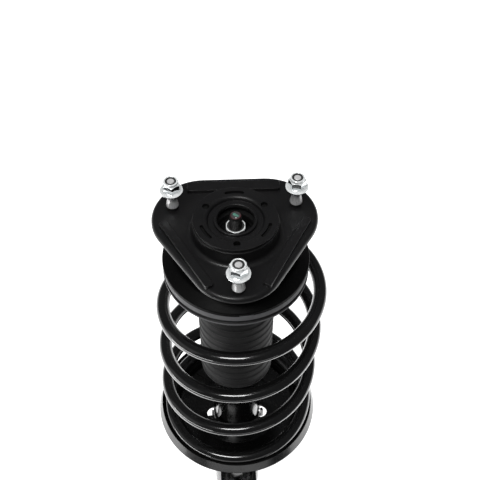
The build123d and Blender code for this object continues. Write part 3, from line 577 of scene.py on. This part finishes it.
def bump_stop():
    """Foam bump stop with rounded bulges, each a little smaller than the one above."""
    low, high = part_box("bump_stop")
    inner, outer = BUMP_BORE_R, high.x
    step = (high.z - low.z) / BUMP_BULGES
    points = [(inner, high.z), (outer, high.z)]
    radii = [0.5 * MM, 2 * MM]
    for index in range(BUMP_BULGES):
        top = high.z - index * step
        radius = outer - 1.8 * MM * index
        if index:
            points.append((radius, top - step * 0.08))
            radii.append(4 * MM)
        points.append((radius, top - step * 0.62))
        radii.append(5 * MM)
        if index < BUMP_BULGES - 1:
            points.append((radius - 6 * MM, top - step * 0.96))
            radii.append(2 * MM)
    points += [(outer - 9 * MM, low.z), (inner, low.z)]
    radii += [2 * MM, 0.5 * MM]
    stop = stacked("bump_stop_foam", rounded(points, radii, 6), MATERIALS["foam"], 60)
    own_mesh(stop)
    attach(stop, "upper_seat")
    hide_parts("bump_stop")


# ---- studs and nuts -----------------------------------------------------------------

def thread(height, angle, pitch):
    """Share of the thread's depth at a height and an angle: 0 on a crest and 1 in a root, both
    of them a little flattened."""
    phase = (height / pitch - angle / (2 * math.pi)) % 1.0
    flank = abs(phase - 0.5) * 2
    return min(max(flank * 1.35 - 0.12, 0.0), 1.0)


def threaded_bar(name, outline, material, cut, columns=96):
    """Turned bar with a thread between two heights; cut holds (bottom, top, pitch, depth)."""
    bottom, top, pitch, depth = cut
    rows = []
    slack = 1e-6
    for (radius, start), (_, end) in zip(outline, outline[1:]):
        rows.append((radius, start))
        if start > bottom - slack and end < top + slack and end - start > pitch:
            count = int((end - start) / pitch * 10)
            for step in range(count):
                height = start + (end - start) * (step + 0.5) / count
                fade = ease(min(height - bottom, top - height) / pitch + 0.15) * depth

                def reach(angle, z=height, dip=fade, r=radius):
                    return r - dip * thread(z, angle, pitch)

                rows.append((reach, height))
    rows.append(outline[-1])
    return stacked(name, rows, material, 40, False, columns)


def hex_reach(angle, across_flats):
    """Distance from the axis to a hexagon's side, at an angle."""
    sector = (angle + math.pi / 6) % (math.pi / 3) - math.pi / 6
    return across_flats / 2 / math.cos(sector)


def hex_rows(flats, bottom, top, end_r, slope, foot=False, steps=8):
    """Rows of a hexagon's end, whose corners are turned down by a cone that has the radius
    end_r at the top, or at the foot."""
    rows = []
    for step in range(steps + 1):
        height = bottom + (top - bottom) * step / steps
        away = height - bottom if foot else top - height
        limit = end_r + away * slope
        rows.append((lambda angle, m=limit: min(hex_reach(angle, flats), m), height))
    return rows


def flange_nut(name):
    """Flanged locknut: washer face, cone, chamfered hexagon and crimped round collar."""
    low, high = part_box("stud_nuts")
    foot, collar_top = low.z, high.z
    rows = [(NUT_BORE_R, foot), (NUT_FLANGE_R - 0.6 * MM, foot)]
    for step in range(7):
        turn = math.pi * step / 6
        rows.append((NUT_FLANGE_R - (0.5 - 0.5 * math.sin(turn)) * MM,
                     foot + (0.65 - 0.55 * math.cos(turn)) * MM))
    for step in range(9):
        up = step / 8
        cone = NUT_FLANGE_R - (0.9 + 3.0 * up ** 0.75) * MM
        rows.append((lambda a, c=cone: max(c, hex_reach(a, NUT_FLATS) - 0.1 * MM),
                     foot + (1.3 + 1.7 * up) * MM))
    rows.append((lambda a: hex_reach(a, NUT_FLATS), foot + 3.4 * MM))
    rows += hex_rows(NUT_FLATS, NUT_HEX_TOP - 1.2 * MM, NUT_HEX_TOP, NUT_FLATS / 2, 1.2)
    rows += [(NUT_COLLAR_R + 0.1 * MM, NUT_HEX_TOP + 0.1 * MM),
             (NUT_COLLAR_R, NUT_HEX_TOP + 0.4 * MM)]
    for step in range(9):
        turn = math.radians(150 * step / 8)
        rows.append((NUT_COLLAR_R - NUT_LIP * (1 - math.cos(turn)),
                     collar_top - NUT_LIP * (1 - math.sin(turn))))
    bore_start = len(rows) - 1
    rows += [(NUT_BORE_R + 0.6 * MM, collar_top - 1.2 * MM), (NUT_BORE_R, collar_top - 2.0 * MM)]
    columns = 144
    nut = stacked(name, rows, MATERIALS["zinc_plate"], 26, True, columns)
    nut.data.materials.append(MATERIALS["bore_shadow"])
    nut.data.materials.append(MATERIALS["zinc_flats"])
    for index, polygon in enumerate(nut.data.polygons):
        if index // columns >= bore_start:
            polygon.material_index = 1
        elif abs(polygon.normal.z) < 0.3 and polygon.center.z < NUT_HEX_TOP:
            polygon.material_index = 2
    return nut


def stud(name):
    """M10 stud: head under the plate, knurl in it, flared shoulder, thread and dog point."""
    low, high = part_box("mount_studs")
    bottom, top, _, _ = STUD_THREAD
    foot = STUD_SHOULDER_FOOT
    under = -PLATE_THICKNESS
    outline = rounded([(NEAR_AXIS, low.z), (STUD_HEAD_R, low.z), (STUD_HEAD_R, under - 1.6 * MM),
                       (STUD_HEAD_R - 1.4 * MM, under), (STUD_KNURL_R, under),
                       (STUD_KNURL_R, foot - 0.6 * MM), (STUD_SHOULDER_R, foot),
                       (STUD_SHOULDER_R, foot + 1.0 * MM), (STUD_CREST_R, 11.0 * MM),
                       (STUD_NECK_R, 13.5 * MM), (STUD_NECK_R, bottom - 0.8 * MM)],
                      [0, 1.5 * MM, 0.6 * MM, 0.3 * MM, 0.2 * MM, 0.3 * MM, 0.8 * MM, 5 * MM,
                       3 * MM, 0], 6, False)
    outline = [tuple(p) for p in outline]
    outline += [(STUD_CREST_R, bottom), (STUD_CREST_R, top),
                (STUD_TIP_R + 0.6 * MM, top + 0.5 * MM), (STUD_TIP_R, top + 0.8 * MM),
                (STUD_TIP_R, high.z - 0.3 * MM), (STUD_TIP_R - 0.3 * MM, high.z),
                (NEAR_AXIS, high.z)]
    bar = threaded_bar(name, outline, MATERIALS["stud_zinc"], STUD_THREAD)
    bar.data.materials.append(MATERIALS["bore_shadow"])
    bar.data.materials.append(MATERIALS["black_steel"])
    for polygon in bar.data.polygons:
        radius = Vector(polygon.center[:2]).length
        if polygon.center.z < foot:
            polygon.material_index = 2
        elif polygon.center.z > NUT_HEX_TOP - 3 * MM and radius > STUD_TIP_R:
            polygon.material_index = 1
    return bar


def studs_and_nuts():
    """Three studs and their nuts, each nut turned its own way."""
    studs, nuts = [], []
    for index, (angle, nut_turn) in enumerate(zip(STUD_ANGLES, NUT_TURNS)):
        turn = math.radians(angle)
        place = Matrix.Translation((STUD_CIRCLE_R * math.cos(turn),
                                    STUD_CIRCLE_R * math.sin(turn), 0))
        bolt = stud(f"stud_{index}")
        bolt.data.transform(place @ Matrix.Rotation(1.3 * index, 4, "Z"))
        studs.append(bolt)
        nut = flange_nut(f"nut_{index}")
        nut.data.transform(place @ Matrix.Rotation(math.radians(nut_turn), 4, "Z"))
        nuts.append(nut)
    for name, group, node in (("threaded_studs", studs, "mount_studs"),
                              ("flange_nuts", nuts, "stud_nuts")):
        piece = join(name, group)
        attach(piece, "top_mount")
        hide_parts(node)


def damper_rod():
    """Damper rod with its M12 thread and a bare tip inside a red fringe."""
    low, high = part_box("piston_rod")
    thread_top = high.z - 2.2 * MM
    outline = [(NEAR_AXIS, low.z), (ROD_THREAD_R - 1 * MM, low.z), (ROD_THREAD_R, low.z + 1 * MM),
               (ROD_THREAD_R, ROD_FOOT), (ROD_R - 0.4 * MM, ROD_FOOT),
               (ROD_R, ROD_FOOT + 0.5 * MM), (ROD_R, ROD_SHOULDER - 1.2 * MM),
               (ROD_R - 1 * MM, ROD_SHOULDER), (ROD_THREAD_R, ROD_SHOULDER),
               (ROD_THREAD_R, ROD_THREAD_FOOT), (ROD_THREAD_R, thread_top),
               (ROD_TIP_R + 0.25 * MM, high.z - 0.5 * MM), (ROD_TIP_R, high.z - 0.15 * MM),
               (ROD_TIP_R - 0.35 * MM, high.z), (NEAR_AXIS, high.z)]
    bar = threaded_bar("damper_rod", outline, MATERIALS["hard_chrome"],
                       (ROD_THREAD_FOOT, thread_top, ROD_PITCH, 0.7 * MM))
    for material in ("black_steel", "red_fringe", "bare_tip"):
        bar.data.materials.append(MATERIALS[material])
    for polygon in bar.data.polygons:
        radius = Vector(polygon.center[:2]).length
        if polygon.center.z > ROD_SHOULDER:
            polygon.material_index = 1
        if polygon.center.z > high.z - 0.45 * MM:
            polygon.material_index = 2 if radius > ROD_TIP_R - 0.4 * MM else 3
    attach(bar, "top_mount")
    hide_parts("piston_rod")


def paint_dab(name, place, half_length, half_width, turn, material):
    """Thin oval dab of paint with a ragged edge, lying on a flat face."""
    rings = 5
    rows = [(half_length, -0.02 * MM)]
    for ring in range(rings, -1, -1):
        share = max(ring / rings, 0.01)
        rows.append((lambda a, s=share: half_length * s * (1 + 0.09 * math.sin(3 * a + 0.6)
                                                           + 0.05 * math.sin(7 * a)),
                     0.22 * MM * (1 - share ** 4)))
    dab = stacked(name, rows, material, 60, False, 48)
    squeeze = Matrix.Diagonal((1, half_width / half_length, 1, 1))
    dab.data.transform(Matrix.Translation(place) @ Matrix.Rotation(math.radians(turn), 4, "Z")
                       @ squeeze)
    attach(dab, "top_mount")


def paint_marks():
    """Green marking dab on the rod's tip, with a small white dab in front of it that is a painted
    highlight.
    """
    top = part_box("piston_rod")[1].z
    paint_dab("green_mark", (0.0, 0.2 * MM, top), 3.2 * MM, 1.5 * MM, -38,
              MATERIALS["green_paint"])
    # painted highlight: a white dot in place of a glint on the tip
    paint_dab("painted_highlight_speck", (0.3 * MM, -3.4 * MM, top), 0.6 * MM, 0.5 * MM, 10,
              MATERIALS["painted_highlight_white"])


def rod_locknut():
    """M12 locknut on the damper rod: zinc hexagon with a bright edge around its insert's well; the
    sides below that edge are black, as painted shade.
    """
    low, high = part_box("rod_nut")
    bore = ROD_THREAD_R + 0.1 * MM
    edge = 0.5 * MM
    hex_top = high.z - edge
    rows = [(bore, low.z)]
    rows += hex_rows(ROD_NUT_FLATS, low.z, low.z + 1.0 * MM, ROD_NUT_FLATS / 2, 1.5, True)
    rows += hex_rows(ROD_NUT_FLATS, hex_top - 0.6 * MM, hex_top, ROD_NUT_EDGE_R, 0.9)
    for step in range(1, 9):
        turn = math.pi / 2 * step / 8
        inset = edge * (1 - math.cos(turn))
        rows.append((lambda a, i=inset: min(hex_reach(a, ROD_NUT_FLATS), ROD_NUT_EDGE_R) - i,
                     hex_top + edge * math.sin(turn)))
    well_start = len(rows)
    rows += [(ROD_NUT_WELL_R, high.z - 0.1 * MM), (ROD_NUT_WELL_R - 0.2 * MM, high.z - 1.2 * MM),
             (bore, high.z - 1.2 * MM)]
    columns = 144
    nut = stacked("rod_locknut", rows, MATERIALS["zinc_plate"], 30, True, columns)
    nut.data.materials.append(MATERIALS["nut_insert"])
    nut.data.materials.append(MATERIALS["black_steel"])
    for index, polygon in enumerate(nut.data.polygons):
        if index // columns >= well_start:
            polygon.material_index = 1
        # painted shade: the hexagon's sides below the top edge take the black material
        elif polygon.center.z < hex_top - 0.2 * MM:
            polygon.material_index = 2
    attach(nut, "top_mount")
    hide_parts("rod_nut")


# ---- weld beads ---------------------------------------------------------------------

def weld_bead(name, path):
    """Rippled weld bead along a path of points with outward and upward directions."""
    around = 10
    verts = []
    for index, (point, out, up) in enumerate(path):
        swell = 1 + 0.10 * math.sin(index * 1.9) + 0.05 * math.sin(index * 0.73)
        if index in (0, len(path) - 1):
            swell *= 0.45
        for k in range(around):
            turn = 2 * math.pi * k / around
            verts.append(point + (out * math.cos(turn) + up * math.sin(turn)) * WELD_R * swell)
    faces = skin(len(path), around, False)
    bead = face_out(new_piece(name, verts, faces, MATERIALS["gloss_black_paint"], 70))
    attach(bead, "strut_body")


def ring_path(radius, height, start, end, step=1.6 * MM):
    """Points on an arc about the axis, in degrees, with their outward and upward directions."""
    count = max(8, int(math.radians(end - start) * radius / step))
    path = []
    for index in range(count + 1):
        angle = math.radians(start + (end - start) * index / count)
        out = Vector((math.cos(angle), math.sin(angle), 0))
        path.append((out * radius + Vector((0, 0, height)), out, Vector((0, 0, 1))))
    return path


def weld_beads():
    """Beads that hold the lower seat and the knuckle bracket on the tube."""
    seat_low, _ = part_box("lower_spring_seat")
    tube_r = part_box("strut_tube")[1].x
    bracket_low, bracket_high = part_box("knuckle_bracket")
    weld_bead("weld_seat", ring_path(tube_r + 0.8 * MM, seat_low.z, 0, 359))
    for name, height in (("weld_bracket_top", bracket_high.z),
                         ("weld_bracket_foot", bracket_low.z)):
        weld_bead(name, ring_path(tube_r + 1.2 * MM, height, -35, 215))


# ---- stage --------------------------------------------------------------------------

def floor_and_surround():
    """White floor that ends a little in front of the strut, and a dim surround that only
    the camera sees as white."""
    low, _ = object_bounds()
    z = low.z - FLOOR_GAP
    mesh = bpy.data.meshes.new("floor")
    mesh.from_pydata([(-FLOOR_SIDE, -FLOOR_FRONT, z), (FLOOR_SIDE, -FLOOR_FRONT, z),
                      (FLOOR_SIDE, FLOOR_SIDE, z), (-FLOOR_SIDE, FLOOR_SIDE, z)], [],
                     [(0, 1, 2, 3)])
    floor = bpy.data.objects.new("floor", mesh)
    bpy.context.scene.collection.objects.link(floor)
    white = bpy.data.materials.new("floor_white")
    white.use_nodes = True
    shader = white.node_tree.nodes["Principled BSDF"]
    shader.inputs["Base Color"].default_value = (0.8, 0.8, 0.8, 1)
    shader.inputs["Roughness"].default_value = 0.8
    shader.inputs["Emission Color"].default_value = (1, 1, 1, 1)
    shader.inputs["Emission Strength"].default_value = FLOOR_GLOW
    floor.data.materials.append(white)

    world = bpy.data.worlds.new("surround")
    bpy.context.scene.world = world
    world.use_nodes = True
    nodes, links = world.node_tree.nodes, world.node_tree.links
    background = nodes["Background"]
    background.inputs["Color"].default_value = (0.95, 0.97, 1.0, 1)
    background.inputs["Strength"].default_value = SURROUND_GLOW
    sight = nodes.new("ShaderNodeBackground")
    sight.inputs["Color"].default_value = (1, 1, 1, 1)
    path = nodes.new("ShaderNodeLightPath")
    mix = nodes.new("ShaderNodeMixShader")
    links.new(path.outputs["Is Camera Ray"], mix.inputs["Fac"])
    links.new(background.outputs["Background"], mix.inputs[1])
    links.new(sight.outputs["Background"], mix.inputs[2])
    links.new(mix.outputs["Shader"], nodes["World Output"].inputs["Surface"])


def soft_box(name, azimuth, elevation, distance, width, height, glow, mirrored=True):
    """Area light that faces the strut's middle, with a given brightness of its face.
    Azimuth 0 is the front, 90 the +X side. One that is not mirrored lights matt surfaces
    only, as a very large and distant bounce would."""
    turn, tilt = math.radians(azimuth), math.radians(elevation)
    out = Vector((math.sin(turn) * math.cos(tilt), -math.cos(turn) * math.cos(tilt),
                  math.sin(tilt)))
    lamp = bpy.data.lights.new(name, "AREA")
    lamp.shape = "RECTANGLE"
    lamp.size, lamp.size_y = width, height
    lamp.energy = glow * math.pi * width * height
    box = bpy.data.objects.new(name, lamp)
    box.location = LIGHT_TARGET + out * distance
    box.rotation_euler = out.to_track_quat("Z", "Y").to_euler()
    box.visible_glossy = mirrored
    bpy.context.scene.collection.objects.link(box)


def lights():
    """One bright soft box above the front, a dim strip low in front, a bright strip low on
    the left, a broad dim panel on the left and an overhead bounce."""
    soft_box("main_box", -30, 60, 2.0, 0.72, 0.36, 17)
    soft_box("front_strip", 0, -29, 0.92, 1.2, 0.20, 1.0)
    soft_box("left_strip", -60, -16, 0.85, 0.80, 0.09, 9)
    soft_box("left_panel", -80, 20, 2.0, 1.6, 1.3, 0.3)
    soft_box("bounce", 0, 90, 2.4, 2.6, 2.6, 4.0, False)


def camera():
    """Camera above the front, looking down on the mount."""
    azimuth, elevation = math.radians(CAMERA_AZIMUTH), math.radians(CAMERA_ELEVATION)
    target = CAMERA_TARGET.copy()
    target.rotate(Matrix.Rotation(azimuth, 3, "Z"))
    back = Vector((math.sin(azimuth) * math.cos(elevation),
                   -math.cos(azimuth) * math.cos(elevation), math.sin(elevation)))
    lens = bpy.data.cameras.new("camera")
    lens.sensor_width = SENSOR
    lens.lens = LENS
    lens.clip_start = 0.01
    eye = bpy.data.objects.new("camera", lens)
    eye.location = target + back * CAMERA_DISTANCE
    eye.rotation_euler = back.to_track_quat("Z", "Y").to_euler()
    bpy.context.scene.collection.objects.link(eye)
    bpy.context.scene.camera = eye


paint_cad_nodes()
coil_spring()
dust_boot()
bump_stop()
studs_and_nuts()
damper_rod()
paint_marks()
rod_locknut()
weld_beads()
floor_and_surround()
lights()
camera()
bpy.context.scene.view_settings.view_transform = "Standard"
